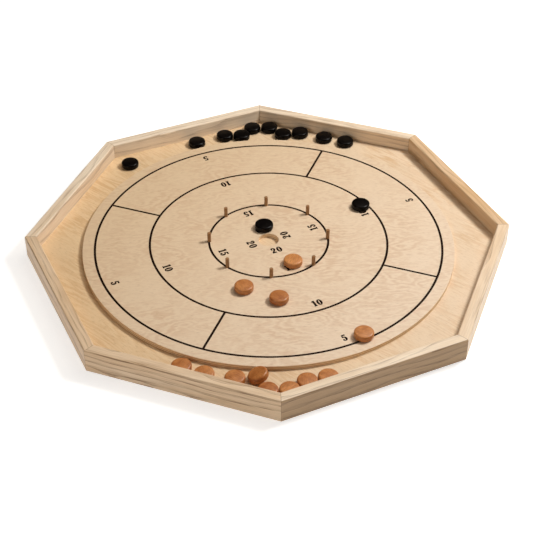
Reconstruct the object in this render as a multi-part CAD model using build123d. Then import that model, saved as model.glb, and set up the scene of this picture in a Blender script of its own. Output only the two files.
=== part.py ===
from build123d import *

import math
import os

# Crokinole board with its game discs, in millimetres.
# The origin is the middle of the board, on the table. +Z is up, and -Y is the near player's side.

# Driving dimensions
inch = 25.4
sides = 8
across_flats = 30.125 * inch
rail_width = 0.75 * inch
rail_height = 1.6 * inch
rail_top_round = 2.4
rail_bottom_round = 1.2

base_thickness = 0.25 * inch
base_underside = 0.25 * inch
groove_depth = 6.6
base_expansion_gap = 0.4

surface_diameter = 25 * inch
surface_thickness = 8.0
surface_edge_round = 0.6
hole_diameter = 35.0

peg_circle_radius = 4 * inch
peg_diameter = 0.25 * inch
peg_stand = 18.0
peg_tip_chamfer = 0.5
peg_hole_clearance = 0.05

disc_diameter = 1.25 * inch
disc_thickness = 0.4375 * inch
disc_upper_round = 3.0
disc_lower_round = 2.6
disc_crown = 0.6
disc_clearance = 0.3

biscuit_length = 31.0
biscuit_width = 11.0
biscuit_thickness = 4.0
biscuit_clearance = 0.1

screw_count = 8
screw_circle_radius = 230.0
screw_length = 12.7
screw_shank_diameter = 3.5
screw_head_diameter = 7.0
screw_head_height = 2.1
screw_tip_height = 2.5
screw_clearance = 0.05
recess_span = 3.6
recess_width = 0.9
recess_depth = 1.3

# Worked out from the above
side_angle = 360 / sides
half_angle = side_angle / 2
outer_apothem = across_flats / 2
inner_apothem = outer_apothem - rail_width
ditch_floor = base_underside + base_thickness
surface_top = ditch_floor + surface_thickness
surface_radius = surface_diameter / 2
disc_radius = disc_diameter / 2
peg_angles = [half_angle + side_angle * i for i in range(sides)]

# Where the discs lie, (x, y) from the middle of the board.
black_on_board = [(7.0, 33.4), (188.4, 17.6)]
black_in_ditch = [
    (-133.9, 324.8),
    (7.3, 339.6),
    (65.2, 339.1),
    (94.9, 326.2),
    (124.5, 341.7),
    (155.3, 329.5),
    (169.6, 297.3),
    (201.1, 287.1),
    (235.6, 252.8),
    (265.8, 222.5),
]
tan_on_board = [(8.9, -77.5), (-93.3, -105.1), (-53.2, -153.8), (29.1, -288.0)]
tan_in_ditch = [
    (-253.3, -229.6),
    (-228.6, -259.7),
    (-190.1, -287.7),
    (-156.3, -332.4),
    (-126.4, -344.9),
    (-94.3, -339.0),
    (-61.7, -344.6),
]

# One tan disc has come to rest on its neighbour's shoulder: middle of its underside, the way its
# raised edge points, and how far it tips.
leaning_place = (-155.9, -301.3, 18.1)
leaning_towards = -29.0
leaning_tilt = 21.5


def octagon(apothem):
    """Regular octagon with one flat square to +X."""
    corner_radius = apothem / math.cos(math.radians(half_angle))
    return RegularPolygon(corner_radius, sides, rotation=half_angle)


def mitred_rail(index):
    """One frame rail: a bar with eased edges, mitred at both ends and grooved for the base panel."""
    middle = (inner_apothem + outer_apothem) / 2
    length = 2 * outer_apothem * math.tan(math.radians(half_angle))
    bar = Pos(middle, 0, rail_height / 2) * Box(rail_width, length, rail_height)
    long_edges = bar.edges().filter_by(Axis.Y).group_by(Axis.Z)
    bar = fillet(long_edges[-1], rail_top_round)
    bar = fillet(bar.edges().filter_by(Axis.Y).group_by(Axis.Z)[0], rail_bottom_round)
    wedge_reach = 2 * outer_apothem
    wedge_half_width = wedge_reach * math.tan(math.radians(half_angle))
    wedge_outline = Polygon(
        (0, 0), (wedge_reach, -wedge_half_width), (wedge_reach, wedge_half_width), align=None
    )
    bar = bar & extrude(wedge_outline, rail_height)
    groove = extrude(Pos(0, 0, base_underside) * octagon(inner_apothem + groove_depth), base_thickness)
    pockets = [biscuit(angle, biscuit_clearance) for angle in (-half_angle, half_angle)]
    bar = bar - groove - pockets
    return Rot(0, 0, side_angle * index) * bar


def biscuit(angle, grow=0.0):
    """Oval beech key across the mitre at the given corner, grown by a clearance for its pocket."""
    corner = (inner_apothem + outer_apothem) / 2 / math.cos(math.radians(half_angle))
    height = (ditch_floor + rail_height) / 2
    outline = Ellipse(biscuit_width / 2 + grow, biscuit_length / 2 + grow)
    thickness = biscuit_thickness + 2 * grow
    oval = extrude(outline, thickness / 2, both=True)
    return Rot(0, 0, angle) * Pos(corner, 0, height) * oval


def around_board(shape, radius, angle, height):
    """Copy of a shape at a place given by radius and angle."""
    return Rot(0, 0, angle) * Pos(radius, 0, height) * shape


def screw(grow=0.0):
    """Countersunk wood screw standing on its head, or the hole it needs when grown."""
    shank = screw_shank_diameter / 2 + grow
    head = screw_head_diameter / 2 + grow
    tip = screw_length + grow
    outline = Polygon(
        (0, 0),
        (head, 0),
        (shank, screw_head_height),
        (shank, tip - screw_tip_height),
        (0, tip),
        align=None,
    )
    body = revolve(Plane.XZ * outline, Axis.Z)
    if grow:
        return body
    recess = Box(recess_span, recess_width, 2 * recess_depth) + Box(recess_width, recess_span, 2 * recess_depth)
    return body - recess


def base_panel():
    """Octagonal plywood panel, let into the rails, with countersunk screw holes."""
    panel_apothem = inner_apothem + groove_depth - base_expansion_gap
    panel = extrude(Pos(0, 0, base_underside) * octagon(panel_apothem), base_thickness)
    return panel - screw_set(screw_clearance)


def playing_surface():
    """Raised round plywood surface with the middle hole, the peg holes and the screw pilots."""
    disc = Pos(0, 0, ditch_floor) * Cylinder(
        surface_radius, surface_thickness, align=(Align.CENTER, Align.CENTER, Align.MIN)
    )
    disc = fillet(disc.edges().filter_by(GeomType.CIRCLE).group_by(Axis.Z)[-1], surface_edge_round)
    disc = disc - Pos(0, 0, ditch_floor + surface_thickness / 2) * Cylinder(hole_diameter / 2, surface_thickness)
    peg_hole = Cylinder(
        peg_diameter / 2 + peg_hole_clearance,
        surface_thickness,
        align=(Align.CENTER, Align.CENTER, Align.MIN),
    )
    holes = [around_board(peg_hole, peg_circle_radius, angle, ditch_floor) for angle in peg_angles]
    return disc - holes - screw_set(screw_clearance)


def screw_set(grow=0.0):
    """The screws that hold the playing surface down, driven up through the base panel."""
    step = 360 / screw_count
    angles = [half_angle + step * i for i in range(screw_count)]
    return [around_board(screw(grow), screw_circle_radius, angle, base_underside) for angle in angles]


def peg(angle):
    """Dowel peg, glued into the playing surface, with an eased tip."""
    dowel = Cylinder(
        peg_diameter / 2,
        surface_thickness + peg_stand,
        align=(Align.CENTER, Align.CENTER, Align.MIN),
    )
    dowel = chamfer(dowel.edges().group_by(Axis.Z)[-1], peg_tip_chamfer)
    return around_board(dowel, peg_circle_radius, angle, ditch_floor)


def game_disc():
    """Turned disc on its flat side, with rounded shoulders and a slightly crowned top."""
    shoulder = disc_thickness - disc_crown
    under = Line((0, 0), (disc_radius - disc_lower_round, 0))
    lower = RadiusArc(under @ 1, (disc_radius, disc_lower_round), -disc_lower_round)
    wall = Line(lower @ 1, (disc_radius, shoulder - disc_upper_round))
    upper = RadiusArc(wall @ 1, (disc_radius - disc_upper_round, shoulder), -disc_upper_round)
    crown_reach = disc_radius - disc_upper_round
    crown_radius = (crown_reach**2 + disc_crown**2) / (2 * disc_crown)
    crown = RadiusArc(upper @ 1, (0, disc_thickness), -crown_radius)
    axis = Line(crown @ 1, (0, 0))
    outline = make_face([under, lower, wall, upper, crown, axis])
    return revolve(Plane.XZ * outline, Axis.Z)


os.makedirs("parts", exist_ok=True)

for i in range(sides):
    export_step(mitred_rail(i), f"parts/rail_{i + 1}.step")
export_step(Compound([biscuit(half_angle + side_angle * i) for i in range(sides)]), "parts/mitre_biscuits.step")
export_step(base_panel(), "parts/base_panel.step")
export_step(playing_surface(), "parts/playing_surface.step")
export_step(Compound(screw_set()), "parts/surface_screws.step")
for i, angle in enumerate(peg_angles):
    export_step(peg(angle), f"parts/peg_{i + 1}.step")

blank = game_disc()
on_board = surface_top + disc_clearance
in_ditch = ditch_floor + disc_clearance
black_places = [(x, y, on_board) for x, y in black_on_board] + [(x, y, in_ditch) for x, y in black_in_ditch]
tan_places = [(x, y, on_board) for x, y in tan_on_board] + [(x, y, in_ditch) for x, y in tan_in_ditch]
for i, place in enumerate(black_places):
    export_step(Pos(*place) * blank, f"parts/black_disc_{i + 1:02d}.step")
for i, place in enumerate(tan_places):
    export_step(Pos(*place) * blank, f"parts/tan_disc_{i + 1:02d}.step")

# Turned so that the edge on the +X side of the tilt rises, then swung round to its direction.
leaning = Pos(*leaning_place) * Rot(0, 0, leaning_towards) * Rot(0, -leaning_tilt, 0) * blank
export_step(leaning, f"parts/tan_disc_{len(tan_places) + 1:02d}.step")
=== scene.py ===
import bmesh
import bpy
import math
from mathutils import Matrix, Vector


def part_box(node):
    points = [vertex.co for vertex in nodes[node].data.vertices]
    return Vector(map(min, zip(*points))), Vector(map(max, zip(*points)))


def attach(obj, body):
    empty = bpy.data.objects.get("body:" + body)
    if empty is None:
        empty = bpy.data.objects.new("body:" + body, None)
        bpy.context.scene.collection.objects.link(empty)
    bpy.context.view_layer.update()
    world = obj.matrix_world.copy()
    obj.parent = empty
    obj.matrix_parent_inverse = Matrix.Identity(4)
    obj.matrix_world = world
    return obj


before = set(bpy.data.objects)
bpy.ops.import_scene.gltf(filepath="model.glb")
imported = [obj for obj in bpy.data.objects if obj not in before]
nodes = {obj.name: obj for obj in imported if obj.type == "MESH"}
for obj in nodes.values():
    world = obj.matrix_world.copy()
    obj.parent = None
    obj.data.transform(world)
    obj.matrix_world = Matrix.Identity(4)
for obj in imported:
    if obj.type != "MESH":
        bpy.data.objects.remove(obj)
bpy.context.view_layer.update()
mm = 0.001    # the frame is in metres

# places that everything else hangs on
surfaceLow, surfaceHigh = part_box("playing_surface")
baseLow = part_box("base_panel")[0]
railLow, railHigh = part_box("rail_1")
surfaceTop = surfaceHigh.z
outerApothem = railHigh.x
innerApothem = railLow.x
railMiddle = Vector(((innerApothem + outerApothem) / 2, 0, railHigh.z / 2))
railCount = 8
print("frame loaded:", len(nodes), "nodes")


def toLinear(hexColour):
    value = hexColour.lstrip("#")
    channels = [int(value[i:i + 2], 16) / 255 for i in (0, 2, 4)]
    return [c / 12.92 if c <= 0.04045 else ((c + 0.055) / 1.055) ** 2.4 for c in channels] + [1.0]


# one node with its settings and what feeds it; a setting is an attribute, a socket's value or ramp stops
def addNode(tree, kind, settings=None, links=None):
    node = tree.nodes.new(kind)
    for name, value in (settings or {}).items():
        if name == "stops":
            stops = node.color_ramp.elements
            while len(stops) < len(value):
                stops.new(0.5)
            for stop, (position, colour) in zip(stops, value):
                stop.position = position
                stop.color = toLinear(colour)
        elif isinstance(name, str) and hasattr(node, name):
            setattr(node, name, value)
        else:
            node.inputs[name].default_value = value
    for name, source in (links or {}).items():
        tree.links.new(source, node.inputs[name])
    return node


def newMaterial(name, surface):
    material = bpy.data.materials.new(name)
    material.use_nodes = True
    tree = material.node_tree
    tree.nodes.clear()
    shader = addNode(tree, "ShaderNodeBsdfPrincipled", surface)
    addNode(tree, "ShaderNodeOutputMaterial", None, {"Surface": shader.outputs["BSDF"]})
    material.diffuse_color = toLinear("#C8AA80")   # plain wood in the solid viewport
    return material, tree, shader


def paint(node, material):
    node.data.materials.clear()
    node.data.materials.append(material)


# clear lacquer on pale wood
def lacquer(roughness):
    return {"Roughness": roughness, "IOR": 1.5, "Specular IOR Level": 0.35}


ash = {
    "pale": "#FBE8CE",        # late wood, straw white under clear lacquer
    "warm": "#CF9F62",        # the deeper straw of some boards
    "line": "#80582F",        # open pores of the early wood, the dark line of each year
    "darkOuterFace": "#B4946F",   # darker grey-brown given to the outer face of some rails
    "darkOuterLine": "#543A22",
    "yearSpacing": 8.5,       # mm between years as they show on a face
    "poreWidth": 1.3,         # mm, drawn wider than real so that it shows
    "poreLength": 42.0,       # mm
    "poreDepth": 0.12,        # mm
    "wander": 10.0,           # mm that a year line strays along the rail
    "wanderScale": (12, 4.5, 12),   # waves per metre across, along and up
    "toneScale": (70, 6, 70),       # the same for slow changes of colour
    "toneDown": 0.14,         # how far those go to the pale side of the board's warmth
    "toneUp": 0.2,
    "rippleAlong": 0.05,      # the years' small ripple is this much slower along the rail than across it
    "glueLine": 0.35,         # mm each side of a mitre
    "glueColour": "#75512C",
    "glueShare": 0.6,
    "darkFaceDepth": 2.0,        # mm of the darker colour behind the outer face
    "darkFaceBlend": 0.8,        # mm over which it fades in
    "figureShare": 0.8,       # how much of the figure the outer face shows
    "quietShare": 0.75,       # the part of that left on the quarter-sawn top and inner face
    "roughness": 0.45,
    # for each rail: how warm the board is, how much of the darker colour its outer face has, how strongly its
    # years show, and where the tree's middle lies from the rail's own before it wanders, across and up, in mm
    "boards": [(0.58, 0.0, 0.75, -70, 10), (0.12, 0.0, 0.75, -30, -90), (0.02, 0.0, 0.7, -24, 40),
               (0.12, 0.0, 0.75, -80, -40), (0.50, 0.4, 0.85, -60, 60), (0.36, 0.45, 1.0, 46, 6),
               (0.05, 1.0, 0.8, -58, -64), (0.30, 0.0, 0.75, 60, -80)],
}


# Ash under clear satin lacquer: straw coloured, with brown lines of open pores that run along the rail,
# sharp on the inner side of each year and fading outwards.
def makeAsh(index):
    warmth, darkFaceShare, strength, across, up = ash["boards"][index]
    material, tree, shader = newMaterial(f"ash_{index + 1}", lacquer(ash["roughness"]))
    turn = -2 * math.pi * index / railCount
    # every rail is turned to lie as the first one does, and the index takes it to its own part of each noise
    coords = addNode(tree, "ShaderNodeTexCoord")
    rail = addNode(tree, "ShaderNodeMapping", {"Rotation": (0, 0, turn)},
                   {"Vector": coords.outputs["Object"]})
    axes = addNode(tree, "ShaderNodeSeparateXYZ", None, {0: rail.outputs[0]})
    stray = addNode(tree, "ShaderNodeMapping",
                    {"Scale": ash["wanderScale"], "Location": (index * 3.7, 0, index)},
                    {"Vector": rail.outputs[0]})
    strayNoise = addNode(tree, "ShaderNodeTexNoise", {"Scale": 1.0, "Detail": 2.5, "Roughness": 0.45},
                         {"Vector": stray.outputs[0]})
    # the noise keeps to about the middle half of its range, so four times the reach gives it each way
    reach = ash["wander"] * mm * 4
    moved = addNode(tree, "ShaderNodeVectorMath", {"operation": "MULTIPLY_ADD", 1: (reach, reach, reach)},
                    {0: strayNoise.outputs["Color"], 2: rail.outputs[0]})
    heart = addNode(tree, "ShaderNodeMapping",
                    {"Location": (-railMiddle.x - across * mm, 0, -railMiddle.z - up * mm),
                     "Scale": (1, ash["rippleAlong"], 1)},
                    {"Vector": moved.outputs[0]})
    years = addNode(tree, "ShaderNodeTexWave",
                    {"wave_type": "RINGS", "rings_direction": "Y", "wave_profile": "SAW",
                     "Scale": math.pi / 10 / (ash["yearSpacing"] * mm), "Distortion": 1.2, "Detail": 3.0,
                     "Detail Scale": 0.5}, {"Vector": heart.outputs[0]})
    yearTone = addNode(tree, "ShaderNodeValToRGB",
                       {"stops": [(0.0, "#FFFFFF"), (0.16, "#DADADA"), (0.42, "#5A5A5A"), (0.97, "#101010")]},
                       {"Fac": years.outputs["Fac"]})
    poreScale = (1 / (ash["poreWidth"] * mm), 1 / (ash["poreLength"] * mm), 1 / (ash["poreWidth"] * mm))
    pores = addNode(tree, "ShaderNodeMapping", {"Scale": poreScale}, {"Vector": rail.outputs[0]})
    poreNoise = addNode(tree, "ShaderNodeTexNoise", {"Scale": 1.0, "Detail": 3.0, "Roughness": 0.6},
                        {"Vector": pores.outputs[0]})
    poreTone = addNode(tree, "ShaderNodeMapRange", {"From Min": 0.42, "From Max": 0.68},
                       {"Value": poreNoise.outputs["Fac"]})
    # pores crowd in the dark part of a year, and a few lie between
    crowded = addNode(tree, "ShaderNodeMath", {"operation": "MULTIPLY_ADD", 1: 0.75, 2: 0.3},
                      {0: yearTone.outputs["Color"]})
    dashes = addNode(tree, "ShaderNodeMath", {"operation": "MULTIPLY"},
                     {0: crowded.outputs[0], 1: poreTone.outputs[0]})
    soft = addNode(tree, "ShaderNodeMath", {"operation": "MULTIPLY_ADD", 1: 0.35},
                   {0: yearTone.outputs["Color"], 2: dashes.outputs[0]})
    # the outer face has the full figure and, on some rails, a darker grey-brown, and the rest is quieter
    edge = outerApothem - ash["darkFaceDepth"] * mm
    edgeEnd = edge + ash["darkFaceBlend"] * mm
    full = ash["figureShare"] * strength
    quiet = full * ash["quietShare"]
    figureShare = addNode(tree, "ShaderNodeMapRange",
                          {"From Min": edge, "From Max": edgeEnd, "To Min": quiet, "To Max": full},
                          {"Value": axes.outputs["X"]})
    grain = addNode(tree, "ShaderNodeMath", {"operation": "MULTIPLY", "use_clamp": True},
                    {0: soft.outputs[0], 1: figureShare.outputs[0]})
    slow = addNode(tree, "ShaderNodeMapping", {"Scale": ash["toneScale"], "Location": (index * 1.3, 0, 0)},
                   {"Vector": rail.outputs[0]})
    slowNoise = addNode(tree, "ShaderNodeTexNoise", {"Scale": 1.0, "Detail": 3.0},
                        {"Vector": slow.outputs[0]})
    slowTone = addNode(tree, "ShaderNodeMapRange",
                       {"From Min": 0.3, "From Max": 0.7, "To Min": warmth - ash["toneDown"],
                        "To Max": warmth + ash["toneUp"]}, {"Value": slowNoise.outputs["Fac"]})
    ground = addNode(tree, "ShaderNodeMix",
                     {"data_type": "RGBA", 6: toLinear(ash["pale"]), 7: toLinear(ash["warm"])},
                     {0: slowTone.outputs[0]})
    sapwood = addNode(tree, "ShaderNodeMix", {"data_type": "RGBA", 7: toLinear(ash["line"])},
                      {0: grain.outputs[0], 6: ground.outputs[2]})
    # the outer face of some rails is given a darker grey-brown, by each rail's share
    darkOuterFace = addNode(tree, "ShaderNodeMix", {"data_type": "RGBA", 6: toLinear(ash["darkOuterFace"]),
                                                7: toLinear(ash["darkOuterLine"])}, {0: grain.outputs[0]})
    darkFaceMask = addNode(tree, "ShaderNodeMapRange",
                        {"From Min": edge, "From Max": edgeEnd, "To Max": darkFaceShare},
                        {"Value": axes.outputs["X"]})
    wood = addNode(tree, "ShaderNodeMix", {"data_type": "RGBA"},
                   {0: darkFaceMask.outputs[0], 6: sapwood.outputs[2], 7: darkOuterFace.outputs[2]})
    # distance from the mitre plane, for the thin brown glue line
    half = math.pi / railCount
    along = addNode(tree, "ShaderNodeMath", {"operation": "ABSOLUTE"}, {0: axes.outputs["Y"]})
    alongPart = addNode(tree, "ShaderNodeMath", {"operation": "MULTIPLY", 1: -math.cos(half)},
                        {0: along.outputs[0]})
    off = addNode(tree, "ShaderNodeMath", {"operation": "MULTIPLY_ADD", 1: math.sin(half)},
                  {0: axes.outputs["X"], 2: alongPart.outputs[0]})
    glue = addNode(tree, "ShaderNodeMapRange",
                   {"From Min": ash["glueLine"] * mm * 0.4, "From Max": ash["glueLine"] * mm * 1.6,
                    "To Min": ash["glueShare"], "To Max": 0.0}, {"Value": off.outputs[0]})
    colour = addNode(tree, "ShaderNodeMix", {"data_type": "RGBA", 7: toLinear(ash["glueColour"])},
                     {0: glue.outputs[0], 6: wood.outputs[2]})
    tree.links.new(colour.outputs[2], shader.inputs["Base Color"])
    bump = addNode(tree, "ShaderNodeBump",
                   {"Strength": 0.5, "Distance": ash["poreDepth"] * mm, "invert": True},
                   {"Height": grain.outputs[0]})
    tree.links.new(bump.outputs[0], shader.inputs["Normal"])
    return material


birch = {
    # pale and far are the two ends of a colour gradient that is painted light: the playing surface is painted
    # darker towards its back left, away from the key lamp, as shade, and the base panel is painted paler and
    # less yellow towards the lamp, as a sheen
    "surface": {"pale": "#EBD4B9", "far": "#E3C7A2", "paintedLightDrift": (0.5, -1.0, 0.0), "figure": "#CDA581",
                "fleck": "#A57E5C", "grainTurn": 22.0,
                "figureSpacing": 12.0, "figureWave": (4.0, 9.0, 4.0), "figureShare": 0.5, "roughness": 0.4},
    "base": {"pale": "#E6CEB0", "far": "#E8C99E", "paintedLightDrift": (1.0, -0.4, 0.0), "figure": "#CB9E68",
             "fleck": "#9C7446", "grainTurn": 66.0,
             "figureSpacing": 9.0, "figureWave": (1.2, 9.0, 4.0), "figureShare": 0.6, "roughness": 0.45},
    "paintedLightReach": 0.3,        # metres each way from the middle
    "figureSteepness": 1700.0,   # more of it packs the contour lines closer on both sheets
    "fleckShare": 0.45,
    "fleckWidth": 1.4,        # mm
    "fleckLength": 8.0,       # mm
    "fleckDepth": 0.05,       # mm
    "plyEdge": ("#F8E2C2", "#D2AC7E"),   # light and dark plies on a sawn edge
    "plyThickness": 1.6,      # mm
}


# Rotary-cut birch veneer under clear lacquer: pinkish straw with slow contour figure and short flecks,
# with a painted light gradient across the sheet, and striped plies where it is sawn through.
def makeBirch(kind, lowestPly):
    look = birch[kind]
    material, tree, shader = newMaterial(f"birch_plywood_{kind}", lacquer(look["roughness"]))
    coords = addNode(tree, "ShaderNodeTexCoord")
    grain = addNode(tree, "ShaderNodeMapping", {"Rotation": (0, 0, math.radians(look["grainTurn"]))},
                    {"Vector": coords.outputs["Object"]})
    # contour lines of a slow height, stretched along the grain
    slow = addNode(tree, "ShaderNodeMapping", {"Scale": look["figureWave"]}, {"Vector": grain.outputs[0]})
    height = addNode(tree, "ShaderNodeTexNoise", {"Scale": 1.0, "Detail": 5.0, "Roughness": 0.56},
                     {"Vector": slow.outputs[0]})
    steepness = birch["figureSteepness"] / look["figureSpacing"]
    turns = addNode(tree, "ShaderNodeMath", {"operation": "MULTIPLY", 1: steepness},
                    {0: height.outputs["Fac"]})
    contour = addNode(tree, "ShaderNodeMath", {"operation": "SINE"}, {0: turns.outputs[0]})
    contourTone = addNode(tree, "ShaderNodeMapRange",
                          {"From Min": -1.0, "From Max": 1.0, "To Max": look["figureShare"]},
                          {"Value": contour.outputs[0]})
    cloudNoise = addNode(tree, "ShaderNodeTexNoise", {"Scale": 14.0, "Detail": 4.0},
                         {"Vector": grain.outputs[0]})
    cloud = addNode(tree, "ShaderNodeMapRange", {"From Min": 0.3, "From Max": 0.7},
                    {"Value": cloudNoise.outputs["Fac"]})
    figureShare = addNode(tree, "ShaderNodeMath", {"operation": "MULTIPLY"},
                          {0: contourTone.outputs[0], 1: cloud.outputs[0]})
    # painted light: the ground colour runs from far to pale along the sheet's set direction, as painted shade
    # on the playing surface and a painted sheen on the base panel
    across = addNode(tree, "ShaderNodeVectorMath", {"operation": "DOT_PRODUCT", 1: look["paintedLightDrift"]},
                     {0: coords.outputs["Object"]})
    paintedLightDrift = addNode(tree, "ShaderNodeMapRange",
                    {"From Min": -birch["paintedLightReach"], "From Max": birch["paintedLightReach"]},
                    {"Value": across.outputs["Value"]})
    ground = addNode(tree, "ShaderNodeMix", {"data_type": "RGBA", 6: toLinear(look["far"]),
                                             7: toLinear(look["pale"])}, {0: paintedLightDrift.outputs[0]})
    figure = addNode(tree, "ShaderNodeMix", {"data_type": "RGBA", 7: toLinear(look["figure"])},
                     {0: figureShare.outputs[0], 6: ground.outputs[2]})
    narrow = 1 / (birch["fleckWidth"] * mm)
    fleckScale = (1 / (birch["fleckLength"] * mm), narrow, narrow)
    fleckPlace = addNode(tree, "ShaderNodeMapping", {"Scale": fleckScale}, {"Vector": grain.outputs[0]})
    fleckNoise = addNode(tree, "ShaderNodeTexNoise", {"Scale": 1.0, "Detail": 2.0},
                         {"Vector": fleckPlace.outputs[0]})
    flecks = addNode(tree, "ShaderNodeMapRange",
                     {"From Min": 0.54, "From Max": 0.85, "To Max": birch["fleckShare"]},
                     {"Value": fleckNoise.outputs["Fac"]})
    face = addNode(tree, "ShaderNodeMix", {"data_type": "RGBA", 7: toLinear(look["fleck"])},
                   {0: flecks.outputs[0], 6: figure.outputs[2]})
    # sawn edge: plies by height
    axes = addNode(tree, "ShaderNodeSeparateXYZ", None, {0: coords.outputs["Object"]})
    fromLow = addNode(tree, "ShaderNodeMath", {"operation": "SUBTRACT", 1: lowestPly}, {0: axes.outputs["Z"]})
    plyRate = math.pi / (birch["plyThickness"] * mm)
    plyPhase = addNode(tree, "ShaderNodeMath", {"operation": "MULTIPLY", 1: plyRate}, {0: fromLow.outputs[0]})
    plyWave = addNode(tree, "ShaderNodeMath", {"operation": "SINE"}, {0: plyPhase.outputs[0]})
    plyTone = addNode(tree, "ShaderNodeMapRange", {"From Min": -0.25, "From Max": 0.25},
                      {"Value": plyWave.outputs[0]})
    light, dark = birch["plyEdge"]
    edge = addNode(tree, "ShaderNodeMix", {"data_type": "RGBA", 6: toLinear(dark), 7: toLinear(light)},
                   {0: plyTone.outputs[0]})
    facing = addNode(tree, "ShaderNodeSeparateXYZ", None, {0: coords.outputs["Normal"]})
    upright = addNode(tree, "ShaderNodeMath", {"operation": "ABSOLUTE"}, {0: facing.outputs["Z"]})
    sawn = addNode(tree, "ShaderNodeMapRange",
                   {"From Min": 0.5, "From Max": 0.8, "To Min": 1.0, "To Max": 0.0},
                   {"Value": upright.outputs[0]})
    colour = addNode(tree, "ShaderNodeMix", {"data_type": "RGBA"},
                     {0: sawn.outputs[0], 6: face.outputs[2], 7: edge.outputs[2]})
    tree.links.new(colour.outputs[2], shader.inputs["Base Color"])
    bump = addNode(tree, "ShaderNodeBump",
                   {"Strength": 0.3, "Distance": birch["fleckDepth"] * mm, "invert": True},
                   {"Height": flecks.outputs[0]})
    tree.links.new(bump.outputs[0], shader.inputs["Normal"])
    return material


discLook = {
    "black": {"colour": "#060302", "worn": "#120B08", "roughness": 0.28, "peelDepth": 0.05},   # depth in mm
    # colours are the pale wood, the deep stain and the fibre lines
    "tan": {"colours": ("#DB9453", "#9C5115", "#6E3A0C"), "roughness": 0.42, "coat": 0.06,
            "turnStep": 2.4,    # radians from one disc's grain to the next one's
            # how deep the stain has gone on each disc, from 0 to 1
            "shades": [0.0, 0.55, 0.75, 0.35, 0.6, 0.4, 0.5, 0.8, 0.3, 0.55, 0.45, 0.7]},
    "peg": ("#A87A4C", "#82572D", "#573716"),
    "biscuit": ("#C99A6B", "#B98657", "#8F6238"),
    "fibreWidth": 0.8,        # mm
    "fibreLength": 9.0,       # mm
    "fibreDepth": 0.05,       # mm
}


# Turned maple under gloss black lacquer: nearly black, browner in small worn patches.
def makeBlackLacquer():
    look = discLook["black"]
    material, tree, shader = newMaterial("black_lacquer", {"Roughness": look["roughness"], "IOR": 1.45,
                                                           "Specular IOR Level": 0.13})
    coords = addNode(tree, "ShaderNodeTexCoord")
    wear = addNode(tree, "ShaderNodeTexNoise", {"Scale": 260.0, "Detail": 3.0},
                   {"Vector": coords.outputs["Object"]})
    worn = addNode(tree, "ShaderNodeMapRange", {"From Min": 0.5, "From Max": 0.75},
                   {"Value": wear.outputs["Fac"]})
    colour = addNode(tree, "ShaderNodeMix", {"data_type": "RGBA", 6: toLinear(look["colour"]),
                                             7: toLinear(look["worn"])}, {0: worn.outputs[0]})
    tree.links.new(colour.outputs[2], shader.inputs["Base Color"])
    peel = addNode(tree, "ShaderNodeTexNoise", {"Scale": 700.0, "Detail": 1.0},
                   {"Vector": coords.outputs["Object"]})
    bump = addNode(tree, "ShaderNodeBump", {"Strength": 0.25, "Distance": look["peelDepth"] * mm},
                   {"Height": peel.outputs["Fac"]})
    tree.links.new(bump.outputs[0], shader.inputs["Normal"])
    return material


# Close-grained hardwood under satin lacquer, with fine straight fibre along one axis. The centre moves a
# piece to its own part of the noise, and the turn swings its fibre round.
def makeFineHardwood(name, centre, turn, colours, along=0, shade=0.0):
    look = discLook["tan"]
    pale, deep, line = colours
    material, tree, shader = newMaterial(name, {"Roughness": look["roughness"], "IOR": 1.5,
                                                "Coat Weight": look["coat"], "Coat Roughness": 0.2})
    coords = addNode(tree, "ShaderNodeTexCoord")
    turned = addNode(tree, "ShaderNodeMapping", {"Rotation": (0, 0, turn)},
                     {"Vector": coords.outputs["Object"]})
    fine = 1 / (discLook["fibreWidth"] * mm)
    fibreScale = [fine, fine, fine]
    fibreScale[along] = 1 / (discLook["fibreLength"] * mm)
    fibre = addNode(tree, "ShaderNodeMapping", {"Scale": fibreScale, "Location": centre * 40},
                    {"Vector": turned.outputs[0]})
    fibreNoise = addNode(tree, "ShaderNodeTexNoise", {"Scale": 1.0, "Detail": 3.0},
                         {"Vector": fibre.outputs[0]})
    fibreTone = addNode(tree, "ShaderNodeMapRange", {"From Min": 0.45, "From Max": 0.8, "To Max": 0.7},
                        {"Value": fibreNoise.outputs["Fac"]})
    cloudNoise = addNode(tree, "ShaderNodeTexNoise", {"Scale": 85.0, "Detail": 2.0},
                         {"Vector": coords.outputs["Object"]})
    cloud = addNode(tree, "ShaderNodeMapRange",
                    {"From Min": 0.35, "From Max": 0.65, "To Min": 0.6 * shade, "To Max": 0.4 + 0.6 * shade},
                    {"Value": cloudNoise.outputs["Fac"]})
    stain = addNode(tree, "ShaderNodeMix", {"data_type": "RGBA", 6: toLinear(pale), 7: toLinear(deep)},
                    {0: cloud.outputs[0]})
    colour = addNode(tree, "ShaderNodeMix", {"data_type": "RGBA", 7: toLinear(line)},
                     {0: fibreTone.outputs[0], 6: stain.outputs[2]})
    tree.links.new(colour.outputs[2], shader.inputs["Base Color"])
    bump = addNode(tree, "ShaderNodeBump",
                   {"Strength": 0.3, "Distance": discLook["fibreDepth"] * mm, "invert": True},
                   {"Height": fibreTone.outputs[0]})
    tree.links.new(bump.outputs[0], shader.inputs["Normal"])
    return material


zinc = {
    "bright": "#B9BAB8",
    "dull": "#8F8C80",
    "roughness": 0.34,
}


# Zinc-plated steel, pale grey with a fine duller mottle.
def makeZinc():
    material, tree, shader = newMaterial("zinc_plated_steel",
                                         {"Metallic": 1.0, "Roughness": zinc["roughness"]})
    coords = addNode(tree, "ShaderNodeTexCoord")
    mottle = addNode(tree, "ShaderNodeTexNoise", {"Scale": 900.0, "Detail": 2.0},
                     {"Vector": coords.outputs["Object"]})
    colour = addNode(tree, "ShaderNodeMix",
                     {"data_type": "RGBA", 6: toLinear(zinc["bright"]), 7: toLinear(zinc["dull"])},
                     {0: mottle.outputs["Fac"]})
    tree.links.new(colour.outputs[2], shader.inputs["Base Color"])
    return material


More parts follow.
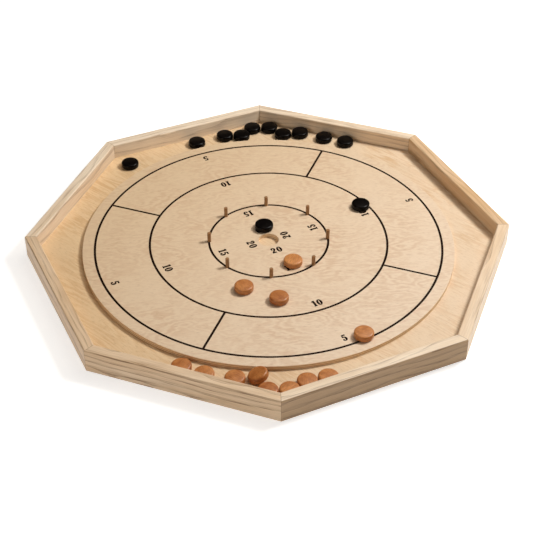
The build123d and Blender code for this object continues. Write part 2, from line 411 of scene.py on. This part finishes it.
for i in range(railCount):
    paint(nodes[f"rail_{i + 1}"], makeAsh(i))
paint(nodes["playing_surface"], makeBirch("surface", surfaceLow.z))
paint(nodes["base_panel"], makeBirch("base", baseLow.z))
paint(nodes["surface_screws"], makeZinc())
beech = makeFineHardwood("beech_biscuit", Vector((0, 0, 0)), 0.0, discLook["biscuit"])
paint(nodes["mitre_biscuits"], beech)
dowel = makeFineHardwood("stained_dowel", Vector((0, 0, 0)), 0.0, discLook["peg"], along=2)
blackLacquer = makeBlackLacquer()
for name, node in nodes.items():
    if name.startswith("peg_"):
        paint(node, dowel)
    elif name.startswith("black_disc_"):
        paint(node, blackLacquer)
    elif name.startswith("tan_disc_"):
        low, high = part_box(name)
        number = int(name[-2:])
        look = discLook["tan"]
        stained = makeFineHardwood(f"stained_maple_{number:02d}", (low + high) / 2, number * look["turnStep"],
                                   look["colours"], shade=look["shades"][number - 1])
        paint(node, stained)
print("materials done")


ink = {
    "lineWidth": 3.9,         # mm
    "ringRadii": {"ring_5": 296.3, "ring_10": 203.2, "ring_15": 102.2},   # mm
    "film": 0.08,             # mm that the ink stands on the wood
    "sunk": 0.03,             # mm that it reaches into it
    "steps": 240,             # facets round a ring
    "full": "#1D0D05",
    "thin": "#38200F",        # brown where the print is thin
    "roughness": 0.7,
}


# Screen-printed ink, nearly black, with small thin patches.
def makeInk():
    material, tree, shader = newMaterial("printing_ink", {"Roughness": ink["roughness"], "IOR": 1.45,
                                                          "Specular IOR Level": 0.1})
    coords = addNode(tree, "ShaderNodeTexCoord")
    patchy = addNode(tree, "ShaderNodeTexNoise", {"Scale": 420.0, "Detail": 2.0},
                     {"Vector": coords.outputs["Object"]})
    thin = addNode(tree, "ShaderNodeMapRange", {"From Min": 0.5, "From Max": 0.8},
                   {"Value": patchy.outputs["Fac"]})
    colour = addNode(tree, "ShaderNodeMix",
                     {"data_type": "RGBA", 6: toLinear(ink["full"]), 7: toLinear(ink["thin"])},
                     {0: thin.outputs[0]})
    tree.links.new(colour.outputs[2], shader.inputs["Base Color"])
    return material


inkMaterial = makeInk()
inkBottom = surfaceTop - ink["sunk"] * mm
inkTop = surfaceTop + ink["film"] * mm


# lists the points or faces of a mesh by where they lie, so that they come in the same order each time
def sortByPlace(elements, place):
    for rank, element in enumerate(sorted(elements, key=place)):
        element.index = rank
    elements.sort()


# closes a mesh, turns its faces outwards and prints it on the board
def finishInk(name, mesh):
    bmesh.ops.remove_doubles(mesh, verts=mesh.verts, dist=1e-7)
    bmesh.ops.recalc_face_normals(mesh, faces=mesh.faces)
    sortByPlace(mesh.verts, lambda vert: tuple(vert.co))
    sortByPlace(mesh.faces, lambda face: tuple(face.calc_center_median()))
    data = bpy.data.meshes.new(name)
    mesh.to_mesh(data)
    mesh.free()
    piece = bpy.data.objects.new(name, data)
    bpy.context.scene.collection.objects.link(piece)
    paint(piece, inkMaterial)
    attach(piece, "board")


def inkRing(name, radius):
    mesh = bmesh.new()
    half = ink["lineWidth"] * mm / 2
    corners = [(radius - half, inkBottom), (radius + half, inkBottom),
               (radius + half, inkTop), (radius - half, inkTop)]
    verts = [mesh.verts.new((x, 0, z)) for x, z in corners]
    edges = [mesh.edges.new((verts[i], verts[(i + 1) % 4])) for i in range(4)]
    bmesh.ops.spin(mesh, geom=verts + edges, cent=(0, 0, 0), axis=(0, 0, 1), angle=2 * math.pi,
                   steps=ink["steps"], use_merge=True)
    finishInk(name, mesh)


def inkBar(mesh, start, end, width):
    start, end = Vector(start), Vector(end)
    along = end - start
    place = Matrix.Translation(((start + end) / 2).to_3d() + Vector((0, 0, (inkBottom + inkTop) / 2)))
    turn = Matrix.Rotation(math.atan2(along.y, along.x), 4, "Z")
    size = Matrix.Diagonal((along.length, width, inkTop - inkBottom, 1))
    bmesh.ops.create_cube(mesh, size=1.0, matrix=place @ turn @ size)


for ringName, radius in ink["ringRadii"].items():
    inkRing("printed_" + ringName, radius * mm)
quadrants = bmesh.new()
gap = ink["lineWidth"] / 2
for i in range(4):
    angle = math.pi / 4 + i * math.pi / 2
    way = Vector((math.cos(angle), math.sin(angle)))
    inner = way * (ink["ringRadii"]["ring_10"] + gap) * mm
    outer = way * (ink["ringRadii"]["ring_5"] - gap) * mm
    inkBar(quadrants, inner, outer, ink["lineWidth"] * mm)
finishInk("printed_quadrant_lines", quadrants)

numerals = {
    "height": 14.0,           # mm
    "thick": 0.27,            # upright strokes, as a share of the height
    "thin": 0.13,             # level strokes and hairlines
    "swell": 1.4,             # more of it keeps the thick of a curve to its upright part
    "spacing": 0.10,          # between digits
    "widths": {"0": 0.66, "1": 0.46, "2": 0.62, "5": 0.60},
    "places": {"5": 278.0, "10": 185.0, "15": 84.0, "20": 31.5},   # mm from the middle
}


# a flat ribbon through points, each with its own width
def inkRibbon(mesh, points, closed=False):
    count = len(points)
    sides = []
    for i, (x, y, width) in enumerate(points):
        before = points[(i - 1) % count] if closed or i else points[i]
        after = points[(i + 1) % count] if closed or i < count - 1 else points[i]
        way = Vector((after[0] - before[0], after[1] - before[1])).normalized()
        out = Vector((-way.y, way.x)) * width / 2
        sides.append([mesh.verts.new((x + s * out.x, y + s * out.y, 0)) for s in (-1, 1)])
    for i in range(count if closed else count - 1):
        (a, b), (c, d) = sides[i], sides[(i + 1) % count]
        mesh.faces.new((a, c, d, b))


# an arc whose stroke is thick where it runs upright and thin where it runs level
def inkArc(cx, cy, rx, ry, start, end, steps):
    points = []
    for i in range(steps + 1):
        angle = math.radians(start + (end - start) * i / steps)
        upright = abs(math.cos(angle)) ** numerals["swell"]
        width = numerals["thin"] + (numerals["thick"] - numerals["thin"]) * upright
        points.append((cx + rx * math.cos(angle), cy + ry * math.sin(angle), width))
    return points


# the strokes of one digit, drawn one unit tall
def digitStrokes(mesh, digit):
    thick, thin = numerals["thick"], numerals["thin"]
    if digit == "0":
        inkRibbon(mesh, inkArc(0.33, 0.5, 0.2, 0.45, 0, 360, 28)[:-1], closed=True)
    elif digit == "1":
        inkRibbon(mesh, [(0.25, 0, thick), (0.25, 1, thick)])
        inkRibbon(mesh, [(0.04, 0.04, thin), (0.46, 0.04, thin)])
        inkRibbon(mesh, [(0.03, 0.8, thin), (0.2, 0.94, thin * 1.3)])
    elif digit == "2":
        bowl = inkArc(0.3, 0.71, 0.18, 0.24, 165, -25, 16)
        inkRibbon(mesh, bowl + [(0.2, 0.24, thin * 1.4), (0.08, 0.1, thin)])
        inkRibbon(mesh, [(0.03, 0.1, thick * 0.8), (0.56, 0.1, thick * 0.8)])
        inkRibbon(mesh, [(0.06, 0.72, thick * 0.9), (0.24, 0.72, thick * 0.9)])
    elif digit == "5":
        inkRibbon(mesh, inkArc(0.27, 0.32, 0.19, 0.28, 125, -160, 20))
        inkRibbon(mesh, [(0.13, 0.5, thin * 1.2), (0.15, 0.88, thin * 1.2)])
        inkRibbon(mesh, [(0.11, 0.9, thick * 0.75), (0.54, 0.9, thick * 0.75)])
        inkRibbon(mesh, [(0.04, 0.2, thick * 0.9), (0.2, 0.2, thick * 0.9)])


# one number with its foot outwards, laid at the ink's height and given its thickness
def printNumber(mesh, text, radius, turn):
    strokes = bmesh.new()
    reach = 0.0
    for digit in text:
        before = set(strokes.verts)
        digitStrokes(strokes, digit)
        fresh = [v for v in strokes.verts if v not in before]
        bmesh.ops.translate(strokes, verts=fresh, vec=(reach, 0, 0))
        reach += numerals["widths"][digit] + numerals["spacing"]
    reach -= numerals["spacing"]
    size = numerals["height"] * mm
    centred = Matrix.Scale(size, 4) @ Matrix.Translation((-reach / 2, -0.5, 0))
    facing = Matrix.Rotation(turn, 4, "Z") @ Matrix.Translation((0, -radius, inkBottom))
    bmesh.ops.transform(strokes, matrix=facing @ centred, verts=strokes.verts)
    raised = bmesh.ops.extrude_face_region(strokes, geom=strokes.faces[:], use_keep_orig=True)
    top = [v for v in raised["geom"] if isinstance(v, bmesh.types.BMVert)]
    bmesh.ops.translate(strokes, verts=top, vec=(0, 0, inkTop - inkBottom))
    data = bpy.data.meshes.new("strokes")
    strokes.to_mesh(data)
    strokes.free()
    mesh.from_mesh(data)
    bpy.data.meshes.remove(data)


for text, radius in numerals["places"].items():
    printed = bmesh.new()
    for side in range(4):
        printNumber(printed, text, radius * mm, side * math.pi / 2)
    finishInk("printed_numerals_" + text, printed)
print("printing done")

studio = {
    "floorSize": 60.0,                # metres; places and sizes below are in metres too, powers in watts
    "floorGap": 0.2,                  # mm under the rails, so that the two flat faces don't fight
    "floorColour": "#DFDEDC",
    "floorGlow": 0.64,                # the sheet is lit from behind as well, as a light table is
    "fill": 0.05,                     # even light from all round
    "keyPlace": (1.02, -0.10, 1.35),  # small softbox on the right
    "keyAim": (-1.8, 0.1, 0.5),       # feathered past the board, to even out the near and far sides
    "keySize": 0.4,
    "keyPower": 26.5,
    "topPlace": (1.1, 0.5, 2.7),      # large softbox, high and to the right
    "topSize": 2.2,
    "topPower": 31.5,
    "topColour": (1.0, 0.91, 0.81),
    "sidePlace": (-2.1, -1.0, 0.75),  # low reflector card that lifts the faces turned to the left
    "sideSize": 1.4,
    "sidePower": 13.0,
    "sideColour": (1.0, 0.93, 0.85),
    "target": (-0.0346, -0.0658, 0.0209),   # what the camera looks at
    "azimuth": -24.965,               # degrees round from the near side
    "elevation": 38.434,              # degrees above the table
    "distance": 2.0477,
    "lens": 82.9,                     # mm
    "clipEnd": 100.0,
}

floorMesh = bmesh.new()
bmesh.ops.create_grid(floorMesh, x_segments=1, y_segments=1, size=studio["floorSize"] / 2,
                      matrix=Matrix.Translation((0, 0, -studio["floorGap"] * mm)))
floorData = bpy.data.meshes.new("studio_floor")
floorMesh.to_mesh(floorData)
floorMesh.free()
floor = bpy.data.objects.new("studio_floor", floorData)
bpy.context.scene.collection.objects.link(floor)
paperLook = {"Roughness": 0.9, "Specular IOR Level": 0.1, "Base Color": toLinear(studio["floorColour"]),
             "Emission Color": (1, 1, 1, 1), "Emission Strength": studio["floorGlow"]}
paint(floor, newMaterial("backdrop_sheet", paperLook)[0])

world = bpy.data.worlds.new("studio_world")
bpy.context.scene.world = world
world.use_nodes = True
background = world.node_tree.nodes["Background"]
background.inputs["Color"].default_value = (1, 1, 1, 1)
background.inputs["Strength"].default_value = studio["fill"]


def softbox(name, place, aim, size, power, colour=(1, 1, 1)):
    data = bpy.data.lights.new(name, "AREA")
    data.size = size
    data.energy = power
    data.color = colour
    light = bpy.data.objects.new(name, data)
    light.location = place
    light.rotation_euler = (Vector(aim) - Vector(place)).to_track_quat("-Z", "Y").to_euler()
    bpy.context.scene.collection.objects.link(light)


boardMiddle = (0, 0, 0)
softbox("key_softbox", studio["keyPlace"], studio["keyAim"], studio["keySize"], studio["keyPower"])
softbox("top_softbox", studio["topPlace"], boardMiddle, studio["topSize"], studio["topPower"],
        studio["topColour"])
softbox("side_reflector", studio["sidePlace"], boardMiddle, studio["sideSize"], studio["sidePower"],
        studio["sideColour"])

azimuth = math.radians(studio["azimuth"])
elevation = math.radians(studio["elevation"])
back = Vector((math.sin(azimuth) * math.cos(elevation), -math.cos(azimuth) * math.cos(elevation),
               math.sin(elevation)))
cameraData = bpy.data.cameras.new("camera")
cameraData.lens = studio["lens"]
cameraData.clip_end = studio["clipEnd"]
camera = bpy.data.objects.new("camera", cameraData)
camera.location = Vector(studio["target"]) + back * studio["distance"]
camera.rotation_euler = (-back).to_track_quat("-Z", "Y").to_euler()
bpy.context.scene.collection.objects.link(camera)
bpy.context.scene.camera = camera
bpy.context.scene.view_settings.view_transform = "Standard"
print("studio done")
